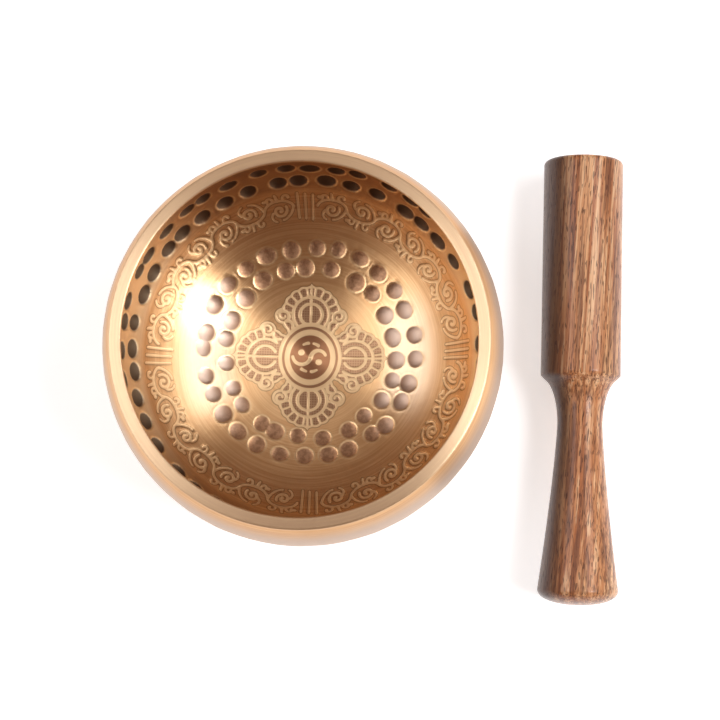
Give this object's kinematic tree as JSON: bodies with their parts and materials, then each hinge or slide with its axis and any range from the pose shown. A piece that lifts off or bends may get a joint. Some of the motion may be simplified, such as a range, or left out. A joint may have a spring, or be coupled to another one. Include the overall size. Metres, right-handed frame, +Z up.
{
  "type": "singing bowl",
  "caption": "Round-bottomed hammered metal bowl with a thick rim that leans in, and a turned wooden mallet lying beside it.",
  "frame": {"origin": "centre of the bowl's flat foot, on the surface the set rests on", "axes": "+Z up out of the bowl's mouth, +X towards the mallet, +Y along the mallet from its handle to its barrel"},
  "size_m": [0.1376, 0.121, 0.048],
  "materials": {
    "brass": "satin, brushed on the lip and the inside",
    "wood": "satin"
  },
  "bodies": {
    "bowl": {"bowl": "brass"},
    "mallet": {"mallet": "wood"}
  },
  "joints": [
    {"name": "mallet_lift", "type": "slide", "parent": "bowl", "child": "mallet", "axis": [0, 0, 1], "range_m": [0, 0.12]}
  ]
}
